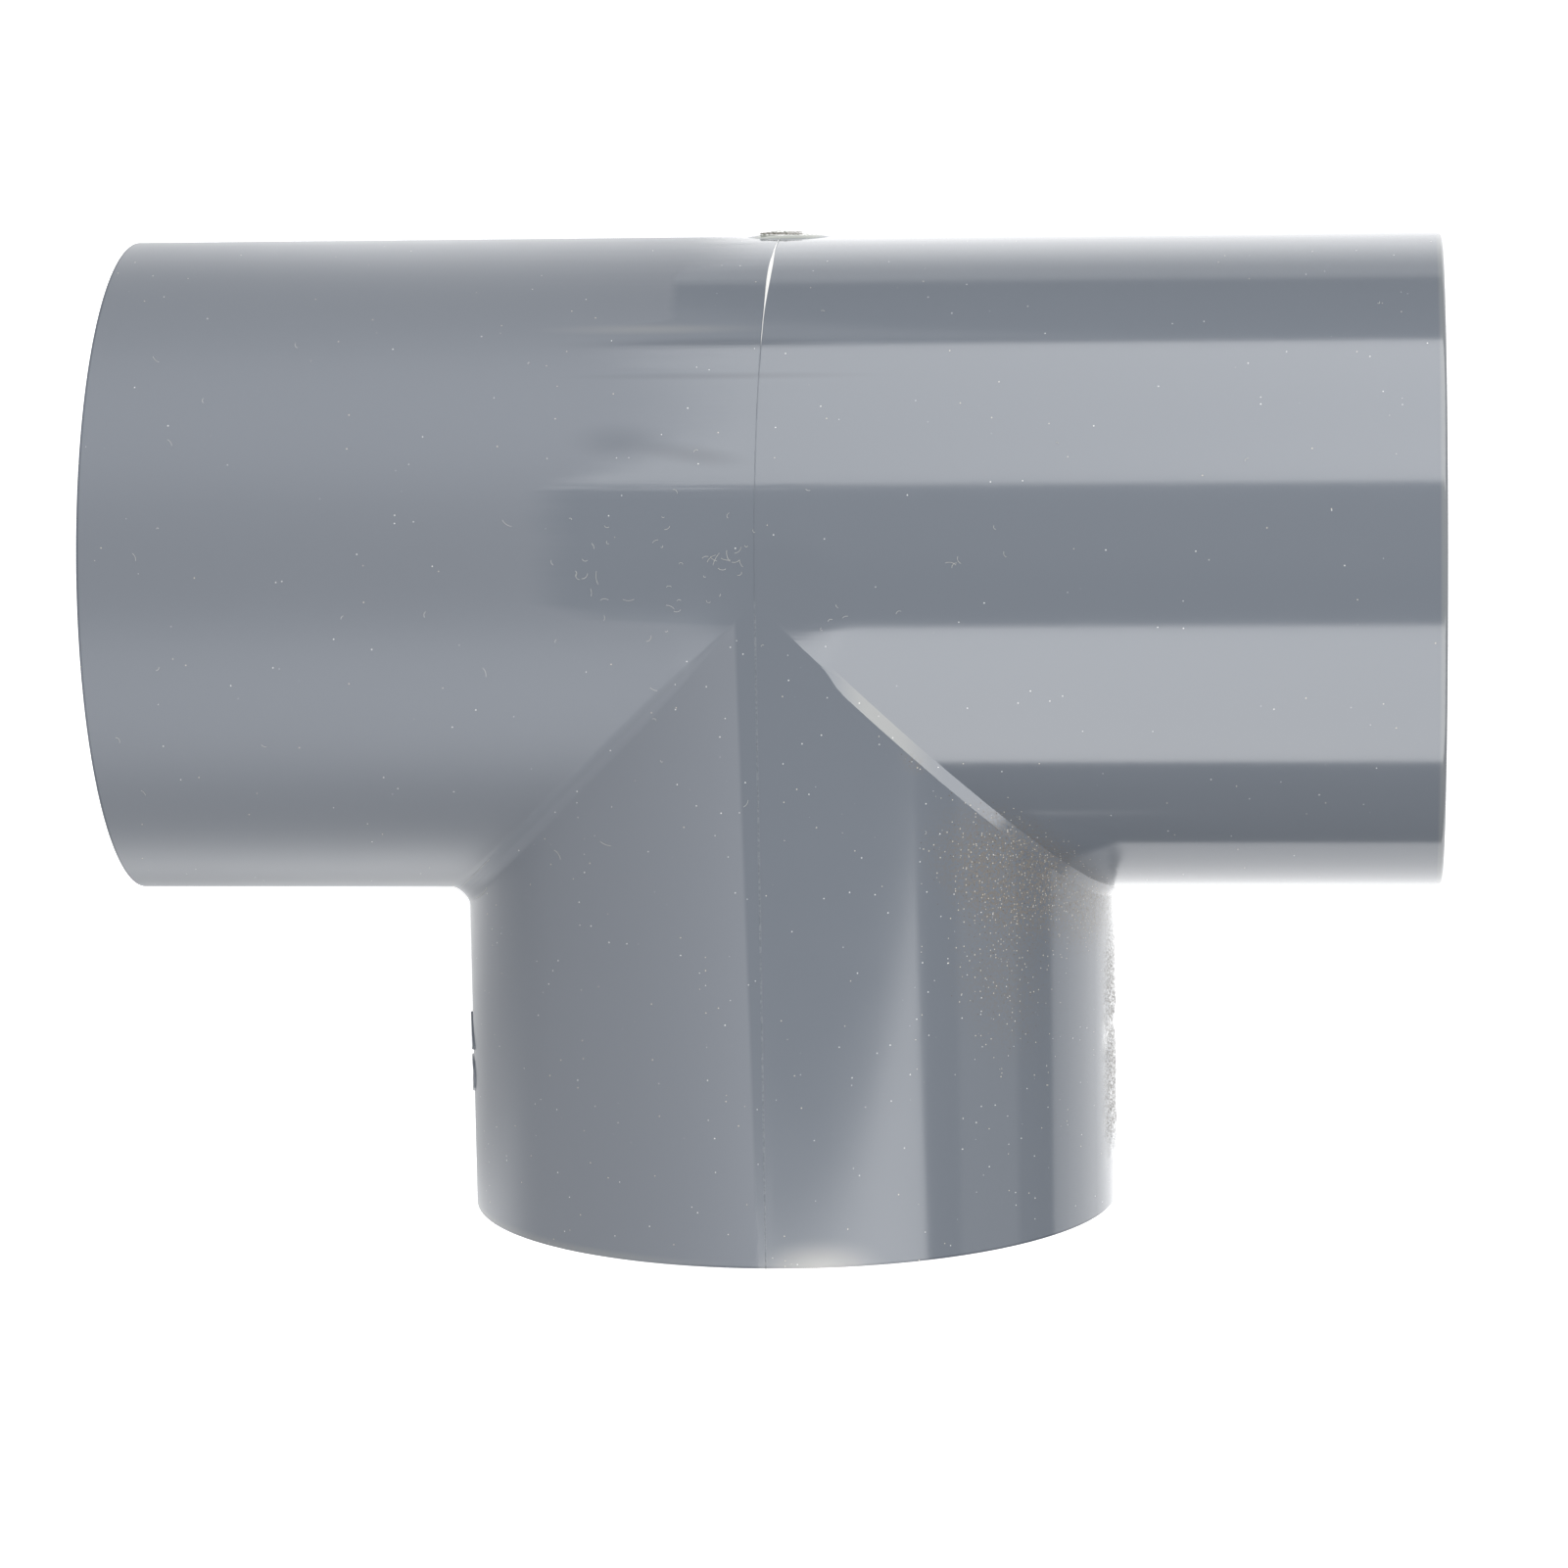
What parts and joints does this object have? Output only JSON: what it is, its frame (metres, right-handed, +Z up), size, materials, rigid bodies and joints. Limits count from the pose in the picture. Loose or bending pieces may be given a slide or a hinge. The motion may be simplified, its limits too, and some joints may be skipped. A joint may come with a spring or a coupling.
{
  "type": "pipe tee",
  "caption": "Equal 90 degree pipe tee moulded in grey PVC-U, with three plain solvent-cement sockets that stop a pipe at a shoulder.",
  "frame": {"origin": "middle of the outline seen from above, on the surface that the tee lies on; the run and branch axes cross 11.8 mm behind it and 24.58 mm above it", "axes": "+X along the run, towards its right-hand socket; -Y along the branch, towards its mouth; +Z up, square to both axes"},
  "size_m": [0.0982, 0.0738, 0.0492],
  "materials": {
    "tee_pvc": "dark grey PVC-U as moulded, glossy on one side and duller on the other, with handling marks and dust"
  },
  "bodies": {
    "root": {"tee_body": "tee_pvc"}
  },
  "joints": []
}
